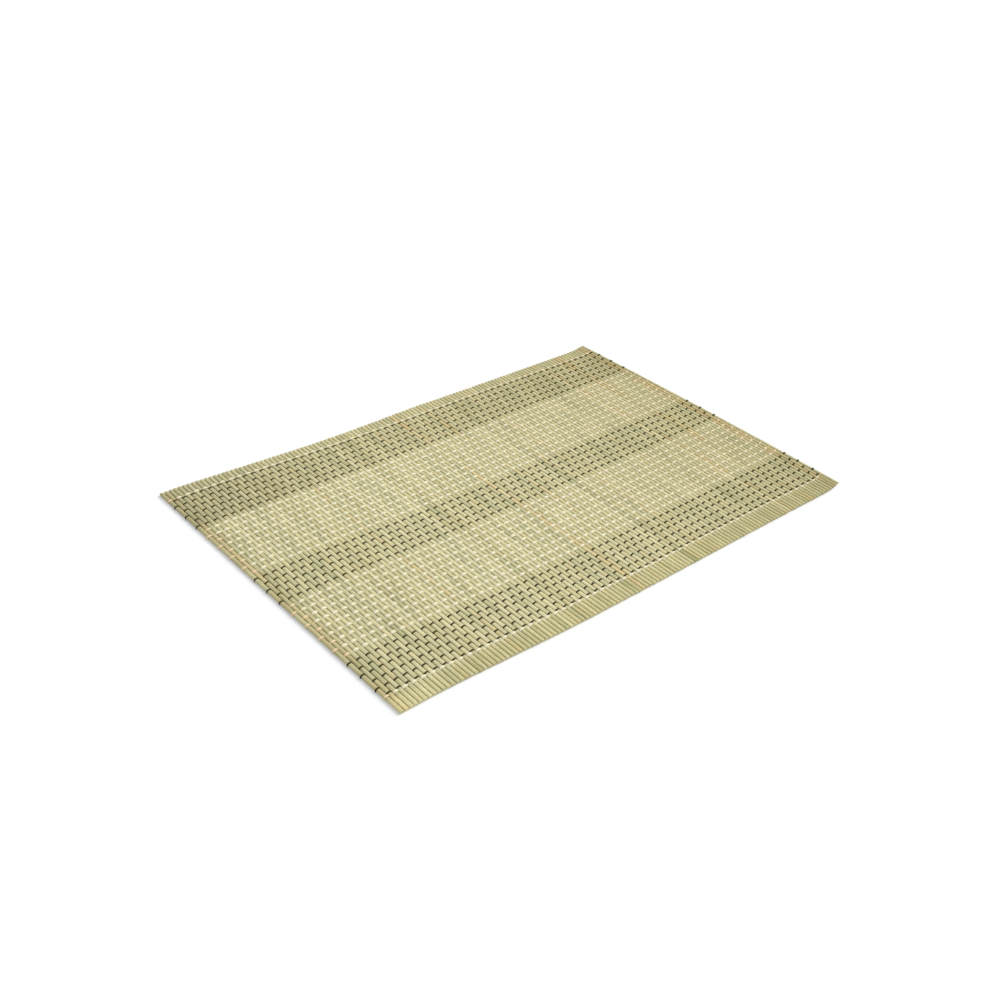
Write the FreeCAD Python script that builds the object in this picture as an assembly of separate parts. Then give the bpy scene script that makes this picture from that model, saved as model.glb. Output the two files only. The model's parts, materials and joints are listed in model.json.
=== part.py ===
import FreeCAD, Part
import os

# Bamboo rolling mat: flat slats lying side by side, held by rows of thread in plain weave.
# X runs across the slats, Y along them and Z up. The origin is on the table, under the mat's middle.
# The mat is cut across its threads into segments that stay flat while the mat rolls up between them.

# Driving sizes, in millimetres
slat_width = 3.12
slat_thickness = 1.5
slat_edge_chamfer = 0.4
thread_thickness = 0.5
thread_width = 1.5
thread_side_room = 0.05
hinge_room = 0.03
row_pitch = 7.9
selvedge_offset = 2.0
back_fringe = 13.1
front_fringe = 14.3

# Counts: thread rows in each colour band, dark and light by turns from the back,
# and slats in each segment from the inner end of the roll to its outer end
band_rows = [6, 9, 5, 9, 6]
slats_in_segment = [2] * 4 + [3] * 5 + [4] * 7 + [5] * 8 + [6] * 5

# Sizes that follow
slat_gap = thread_thickness + 2 * thread_side_room
slat_pitch = slat_width + slat_gap
slat_count = sum(slats_in_segment)
banded_rows = sum(band_rows)
row_count = banded_rows + 2
slat_length = back_fringe + selvedge_offset + (banded_rows - 1) * row_pitch + selvedge_offset + front_fringe
slat_bottom = thread_thickness
slat_top = slat_bottom + slat_thickness
slat_middle = slat_bottom + slat_thickness / 2
weave_top = slat_top + thread_thickness
first_slat_left = -(slat_count * slat_pitch - slat_gap) / 2


def slat_left(slat):
    """The -X side of a slat; slats are numbered from 1 at the inner end of the roll."""
    return first_slat_left + (slat - 1) * slat_pitch


def row_middle(row):
    """Where a thread row lies along the slats; rows are numbered from 0 at the back."""
    first_banded = slat_length / 2 - back_fringe - selvedge_offset
    if row == 0:
        return first_banded + selvedge_offset
    if row == row_count - 1:
        return row_middle(row - 1) - selvedge_offset
    return first_banded - (row - 1) * row_pitch


def passes_over(slat, row):
    """Plain weave: neighbouring slats and neighbouring rows take turns."""
    return (slat + row) % 2 == 1


def prism(corners, start, length):
    """A solid with these X and Z corners, from Y = start for this length."""
    points = [FreeCAD.Vector(x, start, z) for x, z in corners]
    face = Part.Face(Part.makePolygon(points + points[:1]))
    return face.extrude(FreeCAD.Vector(0, length, 0))


def make_slat(slat):
    """One flat strip with its four long edges broken."""
    left = slat_left(slat)
    right = left + slat_width
    chamfer = slat_edge_chamfer
    corners = [
        (left + chamfer, slat_bottom),
        (right - chamfer, slat_bottom),
        (right, slat_bottom + chamfer),
        (right, slat_top - chamfer),
        (right - chamfer, slat_top),
        (left + chamfer, slat_top),
        (left, slat_top - chamfer),
        (left, slat_bottom + chamfer),
    ]
    return prism(corners, -slat_length / 2, slat_length)


def thread_end(slat, over):
    """How far a cut thread reaches past the slat's edge, and the height where it stops.

    A thread over one of the mat's two end slats turns down round it, and one under such a slat
    ends there without a turn. In the slit between two segments a thread stops halfway, where the
    thread of the next segment goes on.
    """
    if slat in (1, slat_count) and over:
        reach = thread_side_room + thread_thickness
        stop = slat_bottom
    elif slat in (1, slat_count):
        reach = thread_side_room
        stop = None
    else:
        reach = slat_gap / 2 - hinge_room
        stop = slat_middle + hinge_room if over else slat_middle - hinge_room
    return reach, stop


def thread_corners(first, last, row):
    """The X and Z corners of one thread as it zigzags from slat first to slat last."""
    upper = []
    lower = []
    for slat in range(first, last + 1):
        over = passes_over(slat, row)
        outer, inner = (upper, lower) if over else (lower, upper)
        outer_height = weave_top if over else 0
        inner_height = slat_top if over else slat_bottom
        reach_left = reach_right = thread_side_room + thread_thickness
        if slat == first:
            reach_left, stop_left = thread_end(slat, over)
        if slat == last:
            reach_right, stop_right = thread_end(slat, over)
        left = slat_left(slat)
        right = left + slat_width
        outer.append((left - reach_left, outer_height))
        outer.append((right + reach_right, outer_height))
        if slat == first and stop_left is not None:
            inner.append((left - reach_left, stop_left))
            inner.append((left - thread_side_room, stop_left))
        inner.append((left - thread_side_room, inner_height))
        inner.append((right + thread_side_room, inner_height))
        if slat == last and stop_right is not None:
            inner.append((right + thread_side_room, stop_right))
            inner.append((right + reach_right, stop_right))
    return upper + lower[::-1]


def make_thread(first, last, row):
    corners = thread_corners(first, last, row)
    return prism(corners, row_middle(row) - thread_width / 2, thread_width)


def write_node(name, solids):
    Part.makeCompound(solids).exportStep(f"parts/{name}.step")


os.makedirs("parts", exist_ok=True)
first = 1
for number, count in enumerate(slats_in_segment, start=1):
    last = first + count - 1
    slats = [make_slat(slat) for slat in range(first, last + 1)]
    threads = [make_thread(first, last, row) for row in range(row_count)]
    write_node(f"slats_{number:02d}", slats)
    write_node(f"threads_{number:02d}", threads)
    first = last + 1
print(f"{slat_count} slats, {row_count} threads, {len(slats_in_segment)} segments")
print(f"slats {slat_length:.2f} mm long, mat {weave_top:.2f} mm thick")
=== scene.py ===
# %% [markdown]
# # A bamboo rolling mat
# The mat is 121 flat bamboo slats lying side by side, held by 37 rows of thread in plain weave.
# The frame gives every slat and every row of thread its place; this lesson gives them their looks.
# Lengths are in metres, X runs across the slats, Y along them and Z up from the table.

# %% Load the frame
import json
import math
import random
import bmesh
import bpy
from mathutils import Matrix, Vector

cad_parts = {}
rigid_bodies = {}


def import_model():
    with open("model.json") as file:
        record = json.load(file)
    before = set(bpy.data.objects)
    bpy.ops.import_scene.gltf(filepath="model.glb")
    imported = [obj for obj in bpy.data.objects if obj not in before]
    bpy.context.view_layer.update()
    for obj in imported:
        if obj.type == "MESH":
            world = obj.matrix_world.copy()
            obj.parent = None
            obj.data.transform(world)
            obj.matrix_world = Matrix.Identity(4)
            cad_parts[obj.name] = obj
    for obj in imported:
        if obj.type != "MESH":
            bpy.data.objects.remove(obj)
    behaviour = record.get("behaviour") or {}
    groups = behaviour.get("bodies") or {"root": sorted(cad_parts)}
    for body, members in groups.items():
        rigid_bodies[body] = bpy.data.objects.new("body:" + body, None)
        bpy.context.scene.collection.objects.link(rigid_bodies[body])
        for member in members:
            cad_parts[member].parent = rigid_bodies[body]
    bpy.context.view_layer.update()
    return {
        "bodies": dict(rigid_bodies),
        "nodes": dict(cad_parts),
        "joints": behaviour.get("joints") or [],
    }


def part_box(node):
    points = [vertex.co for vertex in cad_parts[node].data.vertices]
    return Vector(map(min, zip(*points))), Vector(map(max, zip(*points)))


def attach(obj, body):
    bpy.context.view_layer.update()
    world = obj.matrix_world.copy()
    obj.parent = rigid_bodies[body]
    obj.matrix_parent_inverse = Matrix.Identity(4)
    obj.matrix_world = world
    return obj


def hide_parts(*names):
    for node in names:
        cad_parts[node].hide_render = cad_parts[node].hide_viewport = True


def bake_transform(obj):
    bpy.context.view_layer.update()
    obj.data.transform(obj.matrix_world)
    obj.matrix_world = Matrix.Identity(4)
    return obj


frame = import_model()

MM = 0.001

# %% [markdown]
# ## Measures taken from the frame
# The scene could repeat every size by hand, but then a new frame would no longer fit it.
# So the sizes are read: the slats' height from a slat node, the gap from two neighbouring nodes,
# and the rows of thread from where a thread node has its sides.

# %% Slats: width, pitch and height
SLAT_COUNT = 121
segment_count = len(frame["bodies"])
slats_low, slats_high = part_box("slats_01")
next_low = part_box("slats_02")[0]
last_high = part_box(f"slats_{segment_count:02d}")[1]
slat_gap = next_low.x - slats_high.x
slat_pitch = (last_high.x - slats_low.x + slat_gap) / SLAT_COUNT
slat_width = slat_pitch - slat_gap
slat_length = slats_high.y - slats_low.y
slat_bottom = slats_low.z
slat_top = slats_high.z
slat_thickness = slat_top - slat_bottom
print(f"{segment_count} segments, slats {slat_width / MM:.2f} mm wide, pitch {slat_pitch / MM:.2f} mm")

# %% Rows of thread, numbered from 0 at the back
BAND_ROWS = [6, 9, 5, 9, 6]
MICROMETRE_PLACES = 6
weave_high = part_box("threads_01")[1]
thread_thickness = weave_high.z - slat_top
weave_points = frame["nodes"]["threads_01"].data.vertices
row_sides = sorted({round(vertex.co.y, MICROMETRE_PLACES) for vertex in weave_points})
row_middles = [(low + high) / 2 for low, high in zip(row_sides[0::2], row_sides[1::2])][::-1]
thread_width = row_sides[1] - row_sides[0]
row_count = len(row_middles)


def row_is_dark(row):
    """Dark and light bands take turns, and one light selvedge row lies outside them at each side."""
    past = row - 1
    for band, rows in enumerate(BAND_ROWS):
        if 0 <= past < rows:
            return band % 2 == 0
        past -= rows
    return False


dark_rows = [row for row in range(row_count) if row_is_dark(row)]
light_rows = [row for row in range(row_count) if not row_is_dark(row)]
print(f"{len(dark_rows)} dark rows and {len(light_rows)} light rows, thread {thread_width / MM:.2f} mm wide")

# %% [markdown]
# ## How the mat lies
# Slats can slide a little along themselves inside the weave, and here they have crept out of line by
# 1 to 3 mm, most of all the last few at the +X end. Towards that end the slats also bow, with their
# tips drawn inwards and their middles a little outwards. At two places along the mat they are cut
# shorter at the back, and near the front some rows of thread lie closer together than the rest.
# Finished slats could be pushed about one by one, but then the threads would no longer lie on them.
# So each habit is a small function of the place on the mat, and slats and threads both ask it.

# %% Slides and cuts of the slats
# places along X, each with how far the slats there have slid along Y
SLIDES = [
    (-0.226, 0.6 * MM), (-0.2, 1.3 * MM), (-0.06, -1.5 * MM),
    (0.18, 0.4 * MM), (0.208, 0.6 * MM), (0.226, 3.3 * MM),
]
# the middle along X, the reach to each side and the depth of each dip in the back edge
SHORT_CUTS = [(-0.1, 0.11, 2.2 * MM), (0.13, 0.11, 1.1 * MM)]


def slat_slide(x):
    """How far the slats at this place have slid along Y, eased between the listed places."""
    for (start, before), (end, after) in zip(SLIDES, SLIDES[1:]):
        if x <= end:
            break
    share = min(max((x - start) / (end - start), 0), 1)
    return before + (after - before) * share * share * (3 - 2 * share)


def short_cut(x):
    """How much shorter than the others a slat at this place is cut at the back."""
    return sum(depth * max(1 - ((x - middle) / reach) ** 2, 0) for middle, reach, depth in SHORT_CUTS)


print("slides at the mat's ends:", [round(slat_slide(x) / MM, 2) for x in (slats_low.x, last_high.x)], "mm")

# %% Bow of the slats and shifts of the rows
END_BOW = 2.2 * MM
# the share of the way from its middle to its tips at which a bowed slat keeps its place
BOW_STILL = 0.5
# rows that lie closer to the row behind them, and by how much
CLOSER_ROWS = {32: 1.5 * MM, 35: 1.1 * MM}


def towards_end(x):
    """0 on the -X half of the mat, then rising to 1 at its +X edge."""
    return max(x / last_high.x, 0)


def bow_shift(x, y):
    """How far the bow of the slats moves a place along X: most at the tips of the last slat."""
    return END_BOW * towards_end(x) ** 3 * (BOW_STILL ** 2 - (2 * y / slat_length) ** 2)


def row_shift(row):
    """How far a row is moved to the back because it, or a row before it, lies closer to its neighbour."""
    return sum(closer for start, closer in CLOSER_ROWS.items() if row >= start)


print(f"bow at the last tips {bow_shift(last_high.x, slats_high.y) / MM:.2f} mm along X")

# %% [markdown]
# ## Camera
# The mat lies flat, so its four edges fix where the camera stood. It looks down at about 33 degrees
# over the corner between the -X end and the front, and it was held a little askew.
# A camera can be aimed by a constraint, but that keeps it level, and a level camera with a shifted
# lens doesn't bring all four edges to their places. So its axes are worked out, with the roll.

# %% Camera
CAMERA_AZIMUTH = math.radians(-43.23)
CAMERA_ELEVATION = math.radians(32.99)
CAMERA_ROLL = math.radians(4.23)
CAMERA_TARGET = Vector((-0.0183, -0.0038, 0.0))
CAMERA_DISTANCE = 0.9683
LENS_MM = 45.06
NEAREST_SEEN = 0.01

back = Vector((
    math.sin(CAMERA_AZIMUTH) * math.cos(CAMERA_ELEVATION),
    -math.cos(CAMERA_AZIMUTH) * math.cos(CAMERA_ELEVATION),
    math.sin(CAMERA_ELEVATION),
))
level_right = Vector((0, 0, 1)).cross(back).normalized()
level_up = back.cross(level_right)
turn = Matrix.Rotation(CAMERA_ROLL, 3, back)
axes = Matrix((turn @ level_right, turn @ level_up, back)).transposed()
camera_data = bpy.data.cameras.new("camera")
camera_data.lens = LENS_MM
camera_data.clip_start = NEAREST_SEEN
camera = bpy.data.objects.new("camera", camera_data)
camera.matrix_world = Matrix.Translation(CAMERA_TARGET + CAMERA_DISTANCE * back) @ axes.to_4x4()
bpy.context.scene.collection.objects.link(camera)
bpy.context.scene.camera = camera
print("camera at", [round(value, 4) for value in camera.matrix_world.translation])

# %% [markdown]
# ## Helpers for materials
# Each finish is a tree of nodes: boxes that each work out one thing, linked from socket to socket.
# A tree could be wired by hand in the editor, but a script can be read and run again. These helpers
# keep it short to read: most add one kind of node and hand back the socket with its result.
# Shaders take linear values, so one more helper turns a colour as seen on a screen into those.

# %% Colours and nodes
def screen_colour(red, green, blue):
    """A colour given as 0 to 255 screen values, as linear red, green, blue and alpha."""
    def linear(value):
        # the curve of sRGB: straight close to black, and a power above that
        share = value / 255
        return share / 12.92 if share <= 0.04045 else ((share + 0.055) / 1.055) ** 2.4
    return linear(red), linear(green), linear(blue), 1.0


def add_node(tree, kind, values=None, **settings):
    """A new node with these settings, and these values in its input sockets."""
    node = tree.nodes.new(kind)
    for name, value in settings.items():
        setattr(node, name, value)
    for socket, value in (values or {}).items():
        node.inputs[socket].default_value = value
    return node


def feed(tree, value, socket):
    """Leads another socket's result into this one, or sets a plain value on it."""
    if isinstance(value, bpy.types.NodeSocket):
        tree.links.new(value, socket)
    else:
        socket.default_value = value


print("middle grey on a screen is", round(screen_colour(128, 128, 128)[0], 3), "of white as light")

# %% Noise, ranges and sums
def add_noise(tree, coordinates, stretch, detail=2.0):
    """Noise whose cells are 1 / stretch metres long along X, Y and Z."""
    mapping = add_node(tree, "ShaderNodeMapping", {"Scale": stretch})
    noise = add_node(tree, "ShaderNodeTexNoise", {"Scale": 1.0, "Detail": detail})
    tree.links.new(coordinates, mapping.inputs["Vector"])
    tree.links.new(mapping.outputs["Vector"], noise.inputs["Vector"])
    return noise.outputs["Fac"]


def add_range(tree, value, source, target=(0.0, 1.0)):
    """The value, moved from the source range to the target range and held inside that."""
    limits = {"From Min": source[0], "From Max": source[1], "To Min": target[0], "To Max": target[1]}
    node = add_node(tree, "ShaderNodeMapRange", limits)
    tree.links.new(value, node.inputs["Value"])
    return node.outputs["Result"]


def add_math(tree, operation, first, second):
    """What a sum of this kind makes of two results."""
    node = add_node(tree, "ShaderNodeMath", operation=operation)
    tree.links.new(first, node.inputs[0])
    tree.links.new(second, node.inputs[1])
    return node.outputs[0]


print("noise, range and sum helpers ready")

# %% Mixes, tints and layers
# a mix node's colour sockets by number, because its number and vector sockets have the same names
MIX_FACTOR = 0
MIX_FIRST = 6
MIX_SECOND = 7
MIX_RESULT = 2


def add_mix(tree, factor, first, second, blend="MIX"):
    """A colour mix; the factor and the colours are sockets or plain values."""
    node = add_node(tree, "ShaderNodeMix", data_type="RGBA", blend_type=blend)
    feed(tree, factor, node.inputs[MIX_FACTOR])
    feed(tree, first, node.inputs[MIX_FIRST])
    feed(tree, second, node.inputs[MIX_SECOND])
    return node.outputs[MIX_RESULT]


def add_product(tree, first, second):
    """Two colours, or a colour and a lightness, multiplied."""
    return add_mix(tree, 1.0, first, second, blend="MULTIPLY")


def add_tint(tree, share, colour, tint):
    """The colour, multiplied by a tint as far as the share says."""
    return add_mix(tree, share, colour, add_product(tree, colour, tint))


def add_layer(tree, colour, noise, spread, light):
    """The colour, lighter and darker with the noise: over its spread, the light goes between two values."""
    return add_product(tree, colour, add_range(tree, noise, spread, light))


print("mix, tint and layer helpers ready")

# %% Empty materials and node groups
def new_material(name):
    """An empty material with its Principled BSDF and output."""
    material = bpy.data.materials.new(name)
    material.use_nodes = True
    material.node_tree.nodes.clear()
    shader = add_node(material.node_tree, "ShaderNodeBsdfPrincipled")
    output = add_node(material.node_tree, "ShaderNodeOutputMaterial")
    material.node_tree.links.new(shader.outputs["BSDF"], output.inputs["Surface"])
    return material, material.node_tree, shader


def new_group(name, inputs, outputs):
    """An empty shader node group with named sockets, and its two end nodes."""
    group = bpy.data.node_groups.new(name, "ShaderNodeTree")
    for socket, kind in inputs:
        group.interface.new_socket(socket, in_out="INPUT", socket_type=kind)
    for socket, kind in outputs:
        group.interface.new_socket(socket, in_out="OUTPUT", socket_type=kind)
    return group, add_node(group, "NodeGroupInput"), add_node(group, "NodeGroupOutput")


def object_place(tree):
    """The place of each point on the mat, for patterns to lie on."""
    return add_node(tree, "ShaderNodeTexCoord").outputs["Object"]


print("material and group helpers ready")

# %% [markdown]
# ## Bamboo
# Split bamboo has long fibres along the slat: pale streaks, darker hair lines and a few honey patches.
# No two slats come from the same place in the cane, so each has its own tone and warmth, stored as
# two numbers on its points. A picture of bamboo could show the fibres, but it would repeat.
# Noise stretched along Y never does, and it is built once, as a node group for faces and ends alike.
# The slat's tone also moves the noise, so that no fibre runs on from one slat into the next.

# %% The bamboo group and each slat's own place in the noise
NOISE_SHIFT = (9.0, 5.0, 0.0)
bamboo_group, bamboo_in, bamboo_out = new_group(
    "bamboo_colour",
    [("Place", "NodeSocketVector"), ("Tone", "NodeSocketFloat"), ("Warmth", "NodeSocketFloat")],
    [("Colour", "NodeSocketColor"), ("Fibre", "NodeSocketFloat")],
)
shifted = add_node(bamboo_group, "ShaderNodeVectorMath", {1: NOISE_SHIFT}, operation="MULTIPLY_ADD")
bamboo_group.links.new(bamboo_in.outputs["Tone"], shifted.inputs[0])
bamboo_group.links.new(bamboo_in.outputs["Place"], shifted.inputs[2])
own_place = shifted.outputs[0]
print("noise is shifted by", NOISE_SHIFT, "m for each whole step of tone")

# %% [markdown]
# ### Tone and warmth
# The slats run from olive over pale green and straw to cream, each with soft clouds along it, and some
# turn honey brown in patches. A mix of two colours would miss the greens in between. So the tone
# and the clouds are added up and looked up on a colour ramp, and a second noise lays the honey patches.

# %% Colours of bamboo by tone
OLIVE = screen_colour(168, 163, 116)
PALE_GREEN = screen_colour(194, 192, 145)
STRAW = screen_colour(218, 211, 163)
CREAM = screen_colour(236, 227, 181)
TONE_COLOURS = [(-0.4, OLIVE), (0.0, PALE_GREEN), (0.5, STRAW), (1.0, CREAM)]
# noise cells per metre along X, Y and Z, the range of the noise that is used, and what that becomes
CLOUD_STRETCH = (60, 34, 60)
CLOUD_SPREAD = (0.3, 0.7)
CLOUD_TONE = (-0.3, 0.3)
clouds = add_noise(bamboo_group, own_place, CLOUD_STRETCH, detail=3.0)
cloud_tone = add_range(bamboo_group, clouds, CLOUD_SPREAD, CLOUD_TONE)
clouded_tone = add_math(bamboo_group, "ADD", bamboo_in.outputs["Tone"], cloud_tone)
low_tone, low_colour = TONE_COLOURS[0]
high_tone, high_colour = TONE_COLOURS[-1]
ramp = add_node(bamboo_group, "ShaderNodeValToRGB")
stops = ramp.color_ramp.elements
stops[0].color = low_colour
stops[1].color = high_colour
for tone, colour in TONE_COLOURS[1:-1]:
    stops.new((tone - low_tone) / (high_tone - low_tone)).color = colour
ramp_place = add_range(bamboo_group, clouded_tone, (low_tone, high_tone))
bamboo_group.links.new(ramp_place, ramp.inputs["Fac"])
print("bamboo ramp with", len(stops), "colours")

# %% Honey patches
HONEY = screen_colour(224, 191, 126)
PATCH_STRETCH = (60, 30, 60)
PATCH_SPREAD = (0.36, 0.66)
PATCH_SHARE = (0.25, 1.0)
patches = add_noise(bamboo_group, own_place, PATCH_STRETCH)
patch_share = add_range(bamboo_group, patches, PATCH_SPREAD, PATCH_SHARE)
warm_share = add_math(bamboo_group, "MULTIPLY", patch_share, bamboo_in.outputs["Warmth"])
warm = add_mix(bamboo_group, warm_share, ramp.outputs["Color"], HONEY)
print(f"a fully warm slat is {PATCH_SHARE[0]:.0%} to {PATCH_SHARE[1]:.0%} honey")

# %% [markdown]
# ### Fibres
# The fibres show at three sizes: broad streaks, small specks and dark hair lines. Each could be
# painted, but a layer of noise that makes the colour lighter and darker does the same, and the
# hair lines serve again later, as the fine relief and the gloss of the surface.

# %% Streaks, specks and hair lines
STREAK_STRETCH = (2200, 16, 2200)
STREAK_SPREAD = (0.25, 0.75)
STREAK_LIGHT = (0.86, 1.12)
SPECK_STRETCH = (1100, 300, 1100)
SPECK_SPREAD = (0.3, 0.7)
SPECK_LIGHT = (0.9, 1.1)
HAIR_STRETCH = (6000, 60, 6000)
HAIR_SPREAD = (0.52, 0.72)
HAIR_LIGHT = (1.0, 0.74)
streaks = add_noise(bamboo_group, own_place, STREAK_STRETCH, detail=3.0)
streaked = add_layer(bamboo_group, warm, streaks, STREAK_SPREAD, STREAK_LIGHT)
specks = add_noise(bamboo_group, own_place, SPECK_STRETCH, detail=3.0)
speckled = add_layer(bamboo_group, streaked, specks, SPECK_SPREAD, SPECK_LIGHT)
hairs = add_noise(bamboo_group, own_place, HAIR_STRETCH)
fibrous = add_layer(bamboo_group, speckled, hairs, HAIR_SPREAD, HAIR_LIGHT)
bamboo_group.links.new(hairs, bamboo_out.inputs["Fibre"])
print(f"hair lines are about {1 / HAIR_STRETCH[0] / MM:.2f} mm wide")

# %% [markdown]
# ### Parts of the mat
# The mat's colour is not even. Its back band is a little greyer, and painted shade makes it darker
# towards the -X end; its front band darkens towards the +X end; and the front tips of the slats, past
# the last rows of thread, are greyer too, but a painted highlight makes them paler at the -X corner.
# Each part could have its own material, but then hard lines would show. So tints fade in by the place on the
# mat.

# %% Tints of the back, the front and the front tips
# pairs of places along Y, or across the mat along X, between which a tint comes in
BACK_ALONG = (0.086, 0.1)
BACK_SHADE = screen_colour(246, 245, 241)
# painted shade: the back band is made darker towards the -X end
BACK_SHADOW_ACROSS = (-0.2, -0.08)
BACK_PAINTED_SHADE = (0.88, 1.0)
FRONT_ALONG = (-0.086, -0.1)
FRONT_ACROSS = (0.05, 0.2)
FRONT_LIGHT = (1.0, 0.94)
TIPS_ALONG = (-0.134, -0.138)
TIP_SHADE = screen_colour(245, 244, 233)
# painted highlight: the front tips are made paler towards the -X corner
CORNER_HIGHLIGHT_ACROSS = (-0.175, -0.225)
CORNER_PAINTED_HIGHLIGHT = (1.25, 1.25, 1.22, 1.0)
split_place = add_node(bamboo_group, "ShaderNodeSeparateXYZ")
bamboo_group.links.new(bamboo_in.outputs["Place"], split_place.inputs[0])
across = split_place.outputs["X"]
along = split_place.outputs["Y"]
# the front tips' grey, with a painted highlight mixed in towards the -X corner
tip_grey_and_highlight = add_mix(bamboo_group, add_range(bamboo_group, across, CORNER_HIGHLIGHT_ACROSS), TIP_SHADE, CORNER_PAINTED_HIGHLIGHT)
front_tint = add_range(bamboo_group, across, FRONT_ACROSS, FRONT_LIGHT)
# the painted shade of the back band, deepest towards the -X end
back_painted_shade = add_range(bamboo_group, across, BACK_SHADOW_ACROSS, BACK_PAINTED_SHADE)
# the back band's grey, times its painted shade
back_grey_and_shade = add_product(bamboo_group, BACK_SHADE, back_painted_shade)
tinted = add_tint(bamboo_group, add_range(bamboo_group, along, TIPS_ALONG), fibrous, tip_grey_and_highlight)
tinted = add_tint(bamboo_group, add_range(bamboo_group, along, FRONT_ALONG), tinted, front_tint)
tinted = add_tint(bamboo_group, add_range(bamboo_group, along, BACK_ALONG), tinted, back_grey_and_shade)
bamboo_group.links.new(tinted, bamboo_out.inputs["Colour"])
print("bamboo colour group with", len(bamboo_group.nodes), "nodes")

# %% [markdown]
# ### Two bamboo finishes
# A slat's long faces are planed and have a faint gloss, and its sawn ends show the pores of the cane.
# One material could hold both and choose between them, but it is plainer to give the faces and the ends
# a material each. Both take their colour from the same group, so the fibres run through to the ends.

# %% Bamboo on the faces of the slats
BAMBOO_GLOSS = 0.35
ROUGHNESS_SPREAD = (0.3, 0.7)
FACE_ROUGHNESS = (0.42, 0.62)
FIBRE_RELIEF = {"Strength": 0.35, "Distance": 0.06 * MM}


def bamboo_material(name):
    """A material with bamboo's gloss, and the bamboo group placed in it to take colours from."""
    material, tree, shader = new_material(name)
    tone = add_node(tree, "ShaderNodeAttribute", attribute_name="slat_tone")
    warmth = add_node(tree, "ShaderNodeAttribute", attribute_name="slat_warmth")
    bamboo = add_node(tree, "ShaderNodeGroup", node_tree=bamboo_group)
    tree.links.new(object_place(tree), bamboo.inputs["Place"])
    tree.links.new(tone.outputs["Fac"], bamboo.inputs["Tone"])
    tree.links.new(warmth.outputs["Fac"], bamboo.inputs["Warmth"])
    shader.inputs["Specular IOR Level"].default_value = BAMBOO_GLOSS
    return material, tree, shader, bamboo


def make_bamboo_face():
    """Planed bamboo: rougher and finely raised along the hair lines."""
    material, tree, shader, bamboo = bamboo_material("bamboo_face")
    tree.links.new(bamboo.outputs["Colour"], shader.inputs["Base Color"])
    roughness = add_range(tree, bamboo.outputs["Fibre"], ROUGHNESS_SPREAD, FACE_ROUGHNESS)
    tree.links.new(roughness, shader.inputs["Roughness"])
    bump = add_node(tree, "ShaderNodeBump", FIBRE_RELIEF)
    tree.links.new(bamboo.outputs["Fibre"], bump.inputs["Height"])
    tree.links.new(bump.outputs["Normal"], shader.inputs["Normal"])
    return material


bamboo_face = make_bamboo_face()
print("finish:", bamboo_face.name)

# %% Bamboo on the cut ends of the slats
PORES_PER_METRE = 2600.0
PORE_SPREAD = (0.12, 0.4)
PORE_LIGHT = (0.45, 1.0)
END_ROUGHNESS = 0.75


def make_bamboo_end():
    """Sawn bamboo: dull, with dark pores."""
    material, tree, shader, bamboo = bamboo_material("bamboo_end")
    pores = add_node(tree, "ShaderNodeTexVoronoi", {"Scale": PORES_PER_METRE})
    tree.links.new(object_place(tree), pores.inputs["Vector"])
    pored = add_layer(tree, bamboo.outputs["Colour"], pores.outputs["Distance"], PORE_SPREAD, PORE_LIGHT)
    tree.links.new(pored, shader.inputs["Base Color"])
    shader.inputs["Roughness"].default_value = END_ROUGHNESS
    return material


bamboo_end = make_bamboo_end()
print("finish:", bamboo_end.name)

# %% [markdown]
# ## Thread
# The thread is soft two-ply cotton. Its twist shows as slanting ridges, and loose fibres blur it.
# Two strands could be twisted round each other for every row, but that takes far too many faces.
# So a wave that runs aslant along the thread shades it and lifts it, and fine noise stands for fibres.
# Dark and light thread are the same yarn in two dyes, so they share one node group.

# %% Node group: the twist of the yarn
PLY_SLANT = (0.4, 0.5, math.radians(38))
PLY_WAVE = {"Scale": 420.0, "Distortion": 1.5, "Detail": 1.0}
PLY_LIGHT = (0.86, 1.04)
FUZZ_STRETCH = (5200, 5200, 5200)
FUZZ_SPREAD = (0.3, 0.7)
FUZZ_LIGHT = (0.88, 1.06)
yarn_group, yarn_in, yarn_out = new_group(
    "yarn_twist",
    [("Place", "NodeSocketVector")],
    [("Shade", "NodeSocketFloat"), ("Height", "NodeSocketFloat")],
)
aslant = add_node(yarn_group, "ShaderNodeMapping", {"Rotation": PLY_SLANT})
plies = add_node(yarn_group, "ShaderNodeTexWave", PLY_WAVE)
yarn_group.links.new(yarn_in.outputs["Place"], aslant.inputs["Vector"])
yarn_group.links.new(aslant.outputs["Vector"], plies.inputs["Vector"])
fuzz = add_noise(yarn_group, yarn_in.outputs["Place"], FUZZ_STRETCH, detail=3.0)
fuzz_light = add_range(yarn_group, fuzz, FUZZ_SPREAD, FUZZ_LIGHT)
ply_light = add_range(yarn_group, plies.outputs["Fac"], (0.0, 1.0), PLY_LIGHT)
yarn_shade = add_math(yarn_group, "MULTIPLY", fuzz_light, ply_light)
yarn_group.links.new(yarn_shade, yarn_out.inputs["Shade"])
yarn_group.links.new(plies.outputs["Fac"], yarn_out.inputs["Height"])
print("yarn twist group with", len(yarn_group.nodes), "nodes")

# %% [markdown]
# ### Two dyes
# The dark thread is dyed an olive black, and the light thread has its natural colour. Towards the +X end
# both change a little, and over the mat's end slats the light thread is tanned.
# A thread for each shade could be made, but the change is gradual. So each point of a thread
# carries a number, thread_tan, which mixes its dye with a tanned one.

# %% Cotton in two dyes
OLIVE_BLACK = screen_colour(62, 57, 23)
FADED_OLIVE = screen_colour(88, 84, 22)
NATURAL = screen_colour(255, 247, 214)
TAN = screen_colour(255, 226, 184)
COTTON_ROUGHNESS = 0.9
COTTON_GLOSS = 0.2
TWIST_RELIEF = {"Strength": 0.5, "Distance": 0.08 * MM}


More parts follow.
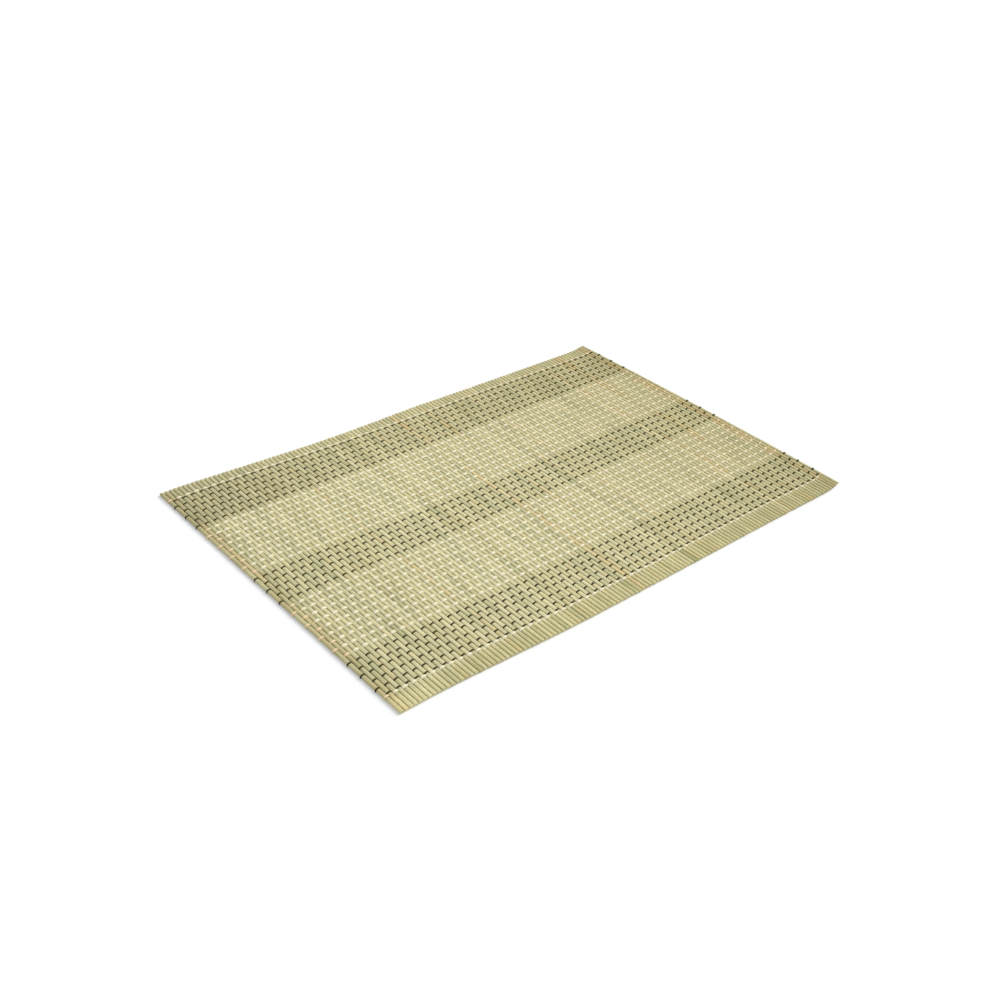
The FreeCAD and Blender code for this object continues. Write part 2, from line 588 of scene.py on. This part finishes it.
def thread_material(name, dye, tanned_dye):
    """Cotton thread in one dye, with another where the thread is tanned."""
    material, tree, shader = new_material(name)
    yarn = add_node(tree, "ShaderNodeGroup", node_tree=yarn_group)
    tree.links.new(object_place(tree), yarn.inputs["Place"])
    tan = add_node(tree, "ShaderNodeAttribute", attribute_name="thread_tan")
    dyed = add_mix(tree, tan.outputs["Fac"], dye, tanned_dye)
    tree.links.new(add_product(tree, dyed, yarn.outputs["Shade"]), shader.inputs["Base Color"])
    bump = add_node(tree, "ShaderNodeBump", TWIST_RELIEF)
    tree.links.new(yarn.outputs["Height"], bump.inputs["Height"])
    tree.links.new(bump.outputs["Normal"], shader.inputs["Normal"])
    shader.inputs["Roughness"].default_value = COTTON_ROUGHNESS
    shader.inputs["Specular IOR Level"].default_value = COTTON_GLOSS
    return material


dark_cotton = thread_material("dark_cotton", OLIVE_BLACK, FADED_OLIVE)
light_cotton = thread_material("light_cotton", NATURAL, TAN)
print("thread finishes:", dark_cotton.name, light_cotton.name)

# %% [markdown]
# ## Slats
# A slat is a strip split from the cane and planed, with round long edges and a slightly domed top.
# Its outline could be drawn and extruded, but a cube pulled to size needs no drawing. A bevel rounds
# its four long edges, a cut along its middle lets the top be domed, and cuts across it let it
# bow a little as split bamboo does.

# %% A planed strip
EDGE_ROUNDING = 0.42 * MM
EDGE_STEPS = 2
CUTS_ALONG = 3
NEARLY = 0.99


def edges_along(strip, axis):
    """The edges that run along X (0), Y (1) or Z (2)."""
    def runs(edge):
        return (edge.verts[0].co - edge.verts[1].co).normalized()
    return [edge for edge in strip.edges if abs(runs(edge)[axis]) > NEARLY]


def plane_strip(strip, width):
    """Fills an empty bmesh with a strip of this width round the origin, ready to be domed and bowed."""
    bmesh.ops.create_cube(strip, size=1.0)
    bmesh.ops.scale(strip, vec=(width, slat_length, slat_thickness), verts=strip.verts)
    bmesh.ops.bevel(
        strip, geom=edges_along(strip, 1), offset=EDGE_ROUNDING,
        affect="EDGES", segments=EDGE_STEPS, profile=0.5, material=-1,
    )
    bmesh.ops.subdivide_edges(strip, edges=edges_along(strip, 0), cuts=1, use_grid_fill=True)
    bmesh.ops.subdivide_edges(strip, edges=edges_along(strip, 1), cuts=CUTS_ALONG, use_grid_fill=True)


print(f"strips of {slat_thickness / MM:.1f} mm with edges rounded by {EDGE_ROUNDING / MM:.2f} mm")

# %% [markdown]
# ### One slat
# Split slats differ: some are a hair narrower, and each bows to one side and is sawn a little short.
# One strip could be copied 121 times, but such a row looks printed. So every slat is shaped
# on its own with seeded random numbers, which come out the same each time the script runs.

# %% One slat in its place
SLAT_SEED = 121
DOME = 0.2
END_UNEVENNESS = 0.3 * MM
SIDE_BOW = 0.06 * MM
NARROWING = 0.12 * MM
ENDWAYS = 0.9
slat_draw = random.Random(SLAT_SEED)


def slat_middle(slat):
    """The middle of a slat across the mat; slats are numbered from 1 at the -X end."""
    return slats_low.x + slat_width / 2 + (slat - 1) * slat_pitch


def shape_slat(slat, tone, warmth):
    """One slat with rounded edges, a domed top, a slight bow and its own tone, as a mesh in its place."""
    strip = bmesh.new()
    tone_layer = strip.verts.layers.float.new("slat_tone")
    warmth_layer = strip.verts.layers.float.new("slat_warmth")
    width = slat_width - slat_draw.uniform(0, NARROWING)
    plane_strip(strip, width)
    middle = slat_middle(slat)
    bow = slat_draw.uniform(-SIDE_BOW, SIDE_BOW)
    cut_back = slat_draw.uniform(0, END_UNEVENNESS) + short_cut(middle)
    cut_front = slat_draw.uniform(0, END_UNEVENNESS)
    for vert in strip.verts:
        if vert.co.z > 0:
            vert.co.z *= 1 - DOME * (2 * vert.co.x / width) ** 2
        share = 2 * vert.co.y / slat_length
        vert.co.x += bow * math.cos(share * math.pi) + bow_shift(middle, vert.co.y)
        if share > NEARLY:
            vert.co.y -= cut_back
        if share < -NEARLY:
            vert.co.y += cut_front
        vert[tone_layer] = tone
        vert[warmth_layer] = warmth
    for face in strip.faces:
        face.material_index = 1 if abs(face.normal.y) > ENDWAYS else 0
    centre_y = (slats_low.y + slats_high.y) / 2 + slat_slide(middle)
    centre_z = slat_bottom + slat_thickness / 2
    bmesh.ops.translate(strip, vec=(middle, centre_y, centre_z), verts=strip.verts)
    shaped = bpy.data.meshes.new(f"slat_{slat}")
    strip.to_mesh(shaped)
    strip.free()
    return shaped


print(f"first slat at {slat_middle(1):.4f} m, last slat at {slat_middle(SLAT_COUNT):.4f} m")

# %% [markdown]
# ### Tone of each slat
# Most slats are straw, some paler or greener by chance, and a few stand out as honey brown. The mat
# grows more golden towards its +X end, and its outermost slats are darker and more olive.
# Every tone could be listed by hand; a draw for all of them and a short list of the odd ones is enough.

# %% Tone and warmth of a slat
TONE_MEAN = 0.55
TONE_SCATTER = 0.17
WARMTH_SCATTER = 0.3
WARM_SHADE = 0.4
# slats that stand out as warm or as light, and by how much
WARM_SLATS = {
    1: 0.35, 2: 0.5, 3: 0.25, 27: 0.5, 58: 0.7, 59: 0.3, 66: 0.5,
    104: 0.75, 110: 0.6, 111: 0.6, 119: 0.75, 120: 0.65,
}
LIGHT_SLATS = {58: 0.75, 59: 0.25, 66: 0.25}
GOLDEN_END = 0.2
GOLDEN_SHADE = 0.25
# the darker slats at the ends: how dark, how many at the +X end, and how many times fewer at the -X end
END_SHADE = 0.38
END_SLATS = 10
FEWER_AT_START = 3


def slat_finish(slat):
    """The tone and the warmth of one slat."""
    golden = max(2 * slat / SLAT_COUNT - 1, 0)
    chance_warmth = WARMTH_SCATTER * slat_draw.random() ** 2
    warmth = WARM_SLATS.get(slat, GOLDEN_END * golden + chance_warmth)
    from_end = min(FEWER_AT_START * (slat - 1), SLAT_COUNT - slat)
    shade = GOLDEN_SHADE * golden + END_SHADE * max(1 - from_end / END_SLATS, 0)
    chance_tone = slat_draw.gauss(TONE_MEAN, TONE_SCATTER)
    return chance_tone + LIGHT_SLATS.get(slat, 0) - WARM_SHADE * warmth - shade, warmth


print(len(WARM_SLATS), "slats are marked as warm")

# %% [markdown]
# ### The slats of every segment
# The mat bends only between its segments, so all the slats of one segment ride together and can be
# one piece. A piece for every slat would move no better and make four times as many objects.

# %% The slats of every segment
SMOOTH_BELOW = math.radians(60)


def slats_of_segment(segment):
    """The first and last slat of a segment, counted from the widths of the frame's nodes."""
    low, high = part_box(f"slats_{segment:02d}")
    first = round((low.x - slats_low.x) / slat_pitch) + 1
    return first, first + round((high.x - low.x + slat_gap) / slat_pitch) - 1


def finish_mesh(name, mesh, materials):
    """An object at the origin with this mesh, smooth except at edges sharper than the limit."""
    for material in materials:
        mesh.materials.append(material)
    mesh.shade_smooth()
    mesh.set_sharp_from_angle(angle=SMOOTH_BELOW)
    piece = bpy.data.objects.new(name, mesh)
    bpy.context.scene.collection.objects.link(piece)
    return piece


def make_slats(segment):
    """All the slats of one segment as one piece."""
    joined = bmesh.new()
    first, last = slats_of_segment(segment)
    for slat in range(first, last + 1):
        tone, warmth = slat_finish(slat)
        shaped = shape_slat(slat, tone, warmth)
        joined.from_mesh(shaped)
        bpy.data.meshes.remove(shaped)
    data = bpy.data.meshes.new(f"bamboo_slats_{segment:02d}")
    joined.to_mesh(data)
    joined.free()
    return finish_mesh(data.name, data, [bamboo_face, bamboo_end])


for segment in range(1, segment_count + 1):
    piece = make_slats(segment)
    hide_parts(f"slats_{segment:02d}")
    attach(piece, f"segment_{segment:02d}")
print("slats of", segment_count, "segments, the last with", len(piece.data.polygons), "faces")

# %% [markdown]
# ## Threads
# Each row of thread runs over one slat and under the next, and dips through every gap between them.
# A tube could be built ring by ring, but a curve that carries a small oval section does it in one step.
# The dark thread is thin and tight, and drops over the edges of the slats. The light thread is thick
# and soft: it stays high, and in the gaps it leans against the slat that it goes under.

# %% The oval section of the thread
SECTION_SIDES = 8
# drop is how far a thread comes down from the top of a slat to its edge,
# and lean is how far off the middle of the gap it goes through
DARK_SHAPE = {
    "width": 0.92 * thread_width, "thickness": thread_thickness, "drop": 0.35 * MM, "lean": 0.0,
}
LIGHT_SHAPE = {
    "width": 1.65 * thread_width, "thickness": 1.2 * thread_thickness, "drop": 0.08 * MM, "lean": 0.32 * MM,
}


def oval_section(shape):
    """A closed oval outline for curves to carry along."""
    data = bpy.data.curves.new("thread_section", "CURVE")
    data.dimensions = "2D"
    spline = data.splines.new("POLY")
    spline.points.add(SECTION_SIDES - 1)
    for number, point in enumerate(spline.points):
        # half a step further round, so that a side and not a corner lies on top
        angle = 2 * math.pi * (number + 0.5) / SECTION_SIDES
        point.co = (shape["width"] / 2 * math.cos(angle), shape["thickness"] / 2 * math.sin(angle), 0, 1)
    spline.use_cyclic_u = True
    section = bpy.data.objects.new("thread_section", data)
    bpy.context.scene.collection.objects.link(section)
    return section


print("thread sections with", SECTION_SIDES, "sides")

# %% [markdown]
# ### Where a thread lies
# A woven thread is never quite straight: it wanders a little along the slats, and it slants one way over
# a slat and back under the next. Random shifts at every slat would look like stitches out of
# line, so three slow waves with random starts make the wander, and the slant follows the weave.

# %% Wander and slant of the rows
ROW_WANDER = 0.12 * MM
# radians per metre and height of each wave
WANDER_WAVES = [(31, 1.0), (73, 0.6), (170, 0.4)]
WANDER_SEED = 37
SLANT = 0.3 * MM
wander_draw = random.Random(WANDER_SEED)
wander_starts = [[wander_draw.uniform(0, 2 * math.pi) for _ in WANDER_WAVES] for _ in range(row_count)]


def passes_over(slat, row):
    """Plain weave: neighbouring slats and neighbouring rows take turns."""
    return (slat + row) % 2 == 1


def row_place(row, x):
    """Where a row lies along the slats: its shift, the slats' slide and the slight wander of the thread."""
    waves = zip(WANDER_WAVES, wander_starts[row])
    wander = sum(height * math.sin(rate * x + start) for (rate, height), start in waves)
    return row_middles[row] + row_shift(row) + slat_slide(x) + ROW_WANDER * wander


def slant_shift(row, x):
    """How far a thread lies off its row: it slants one way over a slat and back under the next."""
    across = (x - slat_middle(1)) / slat_pitch
    slat = round(across) + 1
    side = across + 1 - slat
    return 2 * SLANT * side * (1 if passes_over(slat, row) else -1)


print(f"first row starts at {row_place(0, slats_low.x):.4f} m along Y")

# %% [markdown]
# ### How full and how tanned a thread is
# Towards the +X end the dark thread swells a little and the light thread shrinks, the selvedge rows are
# thinner, and over the end slats the light thread is drawn tight. The section could be scaled piece
# by piece, but the joins would show, so fullness and tan are worked out for each point.

# %% Fullness and tan of a thread
SELVEDGE_FULLNESS = 0.8
FULLNESS_CHANGE = 0.2
END_THINNING = 0.3
GOLDEN_TAN = 0.45
# in slats from the mat's edge: where the look of the end slats is gone
END_REACH = 2.5


def end_nearness(x):
    """1 from each end of the mat to the middle of its second slat, and 0 from the middle of the third on."""
    slats_from_end = min(x - slats_low.x, last_high.x - x) / slat_pitch
    return min(max(END_REACH - slats_from_end, 0), 1)


def thread_tan(row, x):
    """How tanned a thread is here: more and more towards +X, and light ones fully at the mat's ends."""
    golden = GOLDEN_TAN * towards_end(x)
    return golden if row_is_dark(row) else max(golden, end_nearness(x))


def thread_fullness(row, x):
    """The share of its section that a thread has here."""
    change = FULLNESS_CHANGE * towards_end(x)
    if row_is_dark(row):
        return 1 + change
    fullness = (SELVEDGE_FULLNESS if row in (0, row_count - 1) else 1) - change
    return fullness * (1 - END_THINNING * end_nearness(x))


print(f"a light thread's fullness is {thread_fullness(light_rows[1], last_high.x):.2f} at the +X edge")

# %% [markdown]
# ### The way of one thread
# A smooth spline needs only a few points for each slat: two on its run over or under the slat, and one
# in the gap at each side. Points all along the bends would be more work and look stiffer.

# %% Points that lead a thread
RUN_REACH = 0.3 * MM


def thread_points(row, first, last, shape):
    """Points that lead one thread from the middle of slat first to the middle of slat last.

    Under the slats it lies on the table, and in each gap it leans against the slat it goes under.
    Over the mat's own end slats it turns down round the edge; under them it just ends.
    """
    points = []
    for slat in range(first, last + 1):
        middle = slat_middle(slat)
        over = passes_over(slat, row)
        half = shape["thickness"] / 2 * thread_fullness(row, middle)
        height = slat_top + half if over else half
        shoulder = height - shape["drop"] if over else height
        for side in (-1, 1):
            near = middle + side * RUN_REACH
            edge = middle + side * slat_pitch / 2
            gap = edge + side * (shape["lean"] if over else -shape["lean"])
            outwards = [(near, height), (gap, shoulder)]
            at_mat_edge = slat == (1 if side < 0 else SLAT_COUNT)
            if at_mat_edge and over:
                outwards = [(near, height), (edge, shoulder), (edge, slat_bottom)]
            elif at_mat_edge:
                outwards = [(near, height)]
            elif slat == (first if side < 0 else last):
                outwards = [(middle, height)]
            points += outwards if side > 0 else outwards[::-1]
    led = [(x, row_place(row, x), z) for x, z in points]
    return [(x + bow_shift(x, y), y, z) for x, y, z in led]


print("the first thread is led by", len(thread_points(0, 1, SLAT_COUNT, LIGHT_SHAPE)), "points")

# %% [markdown]
# ### From curves to a mesh
# A live curve could stay in the scene, but it can't carry the tan on its points, and slanting it would
# turn its oval section. So the curve becomes a mesh first, and then the mesh's points move aslant.

# %% Threads between two slats
SPLINE_ORDER = 3
RINGS_PER_POINT = 2


def lead_threads(name, rows, first, last, shape):
    """The threads of these rows as one set of curves, each as full as its thread is."""
    data = bpy.data.curves.new(name, "CURVE")
    data.dimensions = "3D"
    data.twist_mode = "MINIMUM"
    data.use_fill_caps = True
    for row in rows:
        points = thread_points(row, first, last, shape)
        if first == 1:
            points.reverse()  # the oval lies level only on a thread that starts with a level run
        spline = data.splines.new("NURBS")
        spline.points.add(len(points) - 1)
        for point, place in zip(spline.points, points):
            point.co = (*place, 1)
            point.radius = thread_fullness(row, place[0])
        spline.order_u = SPLINE_ORDER
        spline.use_endpoint_u = True
        spline.resolution_u = RINGS_PER_POINT
    return data


def thicken(data, shape):
    """A mesh of these curves with the oval section along them; the curves themselves are used up."""
    section = oval_section(shape)
    data.bevel_mode = "OBJECT"
    data.bevel_object = section
    led = bpy.data.objects.new(data.name + "_way", data)
    bpy.context.scene.collection.objects.link(led)
    mesh = bpy.data.meshes.new_from_object(led.evaluated_get(bpy.context.evaluated_depsgraph_get()))
    mesh.materials.clear()
    for used in (led, section):
        curve = used.data
        bpy.data.objects.remove(used)
        bpy.data.curves.remove(curve)
    return mesh


def nearest_row(rows, place):
    """The one of these rows that runs nearest to a place."""
    along = place.y - slat_slide(place.x)
    return min(rows, key=lambda row: abs(row_middles[row] + row_shift(row) - along))


def make_threads(name, rows, first, last, shape, material):
    """The threads of these rows between two slats as one mesh piece."""
    mesh = thicken(lead_threads(name, rows, first, last, shape), shape)
    mesh.name = name
    tan = mesh.attributes.new("thread_tan", "FLOAT", "POINT")
    for vert in mesh.vertices:
        row = nearest_row(rows, vert.co)
        tan.data[vert.index].value = thread_tan(row, vert.co.x)
        vert.co.y += slant_shift(row, vert.co.x)
    return finish_mesh(name, mesh, [material])


print("threads get", RINGS_PER_POINT, "rings for each point that leads them")

# %% [markdown]
# ### Threads across every hinge
# The mat bends between its segments, and the threads are what bends there. A thread cut at the hinge
# would gape when the mat rolls up. So the threads are cut in the middle of each segment, where
# nothing moves, and each length reaches across its own hinge.


def cut_slat(segment):
    """The slat in the middle of a segment, where its threads are cut."""
    first, last = slats_of_segment(segment)
    return (first + last + 1) // 2


thread_kinds = [
    ("dark", dark_rows, DARK_SHAPE, dark_cotton),
    ("light", light_rows, LIGHT_SHAPE, light_cotton),
]
hinges = sorted(frame["joints"], key=lambda joint: joint["pos_m"][0])
for number, hinge in enumerate(hinges, start=1):
    first = 1 if number == 1 else cut_slat(number)
    last = SLAT_COUNT if number == len(hinges) else cut_slat(number + 1)
    nodes = [f"threads_{number:02d}"]
    if number == len(hinges):
        nodes.append(f"threads_{number + 1:02d}")
    for kind, rows, shape, material in thread_kinds:
        piece = make_threads(f"{kind}_threads_{number:02d}", rows, first, last, shape, material)
        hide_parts(*nodes)
        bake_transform(piece)
print("threads across", len(hinges), "hinges, the last piece with", len(piece.data.polygons), "faces")

# %% [markdown]
# ## Table
# The mat lies on a plain white table, which shows its soft shadow. More lamps could make the table
# white, but they would bleach the mat as well. So the table adds a little light of its own, only on
# rays on which it is seen, and it keeps the mat's shadow.

# %% Table
TABLE_SIZE = 12.0
TABLE_DROP = 0.02 * MM
TABLE_COLOUR = (0.9, 0.9, 0.9, 1)
TABLE_GLOW = 0.14
WHITE = (1, 1, 1, 1)


def seen_ray(tree):
    """1 for rays on which a thing is seen, straight, in a mirror or through glass, and 0 for its light."""
    light_path = add_node(tree, "ShaderNodeLightPath")
    seen = light_path.outputs["Is Camera Ray"]
    for other in ("Is Glossy Ray", "Is Transmission Ray"):
        seen = add_math(tree, "MAXIMUM", seen, light_path.outputs[other])
    return seen


def make_table_white():
    """Dull white with the glow that only shows."""
    material, tree, shader = new_material("table_white")
    shader.inputs["Base Color"].default_value = TABLE_COLOUR
    shader.inputs["Roughness"].default_value = 1.0
    shader.inputs["Specular IOR Level"].default_value = 0.0
    shader.inputs["Emission Color"].default_value = WHITE
    glow = add_range(tree, seen_ray(tree), (0.0, 1.0), (0.0, TABLE_GLOW))
    tree.links.new(glow, shader.inputs["Emission Strength"])
    return material


table_mesh = bmesh.new()
bmesh.ops.create_grid(table_mesh, x_segments=1, y_segments=1, size=TABLE_SIZE / 2)
bmesh.ops.translate(table_mesh, vec=(0, 0, -TABLE_DROP), verts=table_mesh.verts)
table_data = bpy.data.meshes.new("table")
table_mesh.to_mesh(table_data)
table_mesh.free()
table_data.materials.append(make_table_white())
table = bpy.data.objects.new("table", table_data)
bpy.context.scene.collection.objects.link(table)
print("table", TABLE_SIZE, "m wide")

# %% [markdown]
# ## Sky and lamp
# One broad lamp low on the +X side and an even sky light the mat softly, as a window in a pale room does.
# Several area lamps could do this too, but they fall off across the mat. A sun lamp with a wide angle
# doesn't. The lamp and the sky together are set so that a white sheet lying flat comes out just white.

# %% Sky
SKY_LIGHT = 0.6
SKY_COLOUR = (0.96, 0.98, 1.0, 1)
world = bpy.data.worlds.new("studio")
bpy.context.scene.world = world
world.use_nodes = True
sky = world.node_tree
sky.nodes.clear()
lit = add_node(sky, "ShaderNodeBackground", {"Color": SKY_COLOUR, "Strength": SKY_LIGHT})
seen = add_node(sky, "ShaderNodeBackground", {"Color": WHITE, "Strength": 1.0})
choose = add_node(sky, "ShaderNodeMixShader")
sky_output = add_node(sky, "ShaderNodeOutputWorld")
sky.links.new(seen_ray(sky), choose.inputs["Fac"])
sky.links.new(lit.outputs["Background"], choose.inputs[1])
sky.links.new(seen.outputs["Background"], choose.inputs[2])
sky.links.new(choose.outputs["Shader"], sky_output.inputs["Surface"])
print("sky with a strength of", SKY_LIGHT)

# %% Lamp
LAMP_ELEVATION = math.radians(34)
LAMP_AZIMUTH = math.radians(-5)
LAMP_SOFTNESS = math.radians(40)
lamp_data = bpy.data.lights.new("lamp", "SUN")
lamp_data.energy = (1 - SKY_LIGHT) * math.pi / math.sin(LAMP_ELEVATION)
lamp_data.angle = LAMP_SOFTNESS
lamp = bpy.data.objects.new("lamp", lamp_data)
to_lamp = Vector((
    math.cos(LAMP_AZIMUTH) * math.cos(LAMP_ELEVATION),
    math.sin(LAMP_AZIMUTH) * math.cos(LAMP_ELEVATION),
    math.sin(LAMP_ELEVATION),
))
lamp.rotation_euler = to_lamp.to_track_quat("Z", "Y").to_euler()
bpy.context.scene.collection.objects.link(lamp)
bpy.context.scene.view_settings.view_transform = "Standard"
print(f"lamp of {lamp_data.energy:.2f} W per square metre")
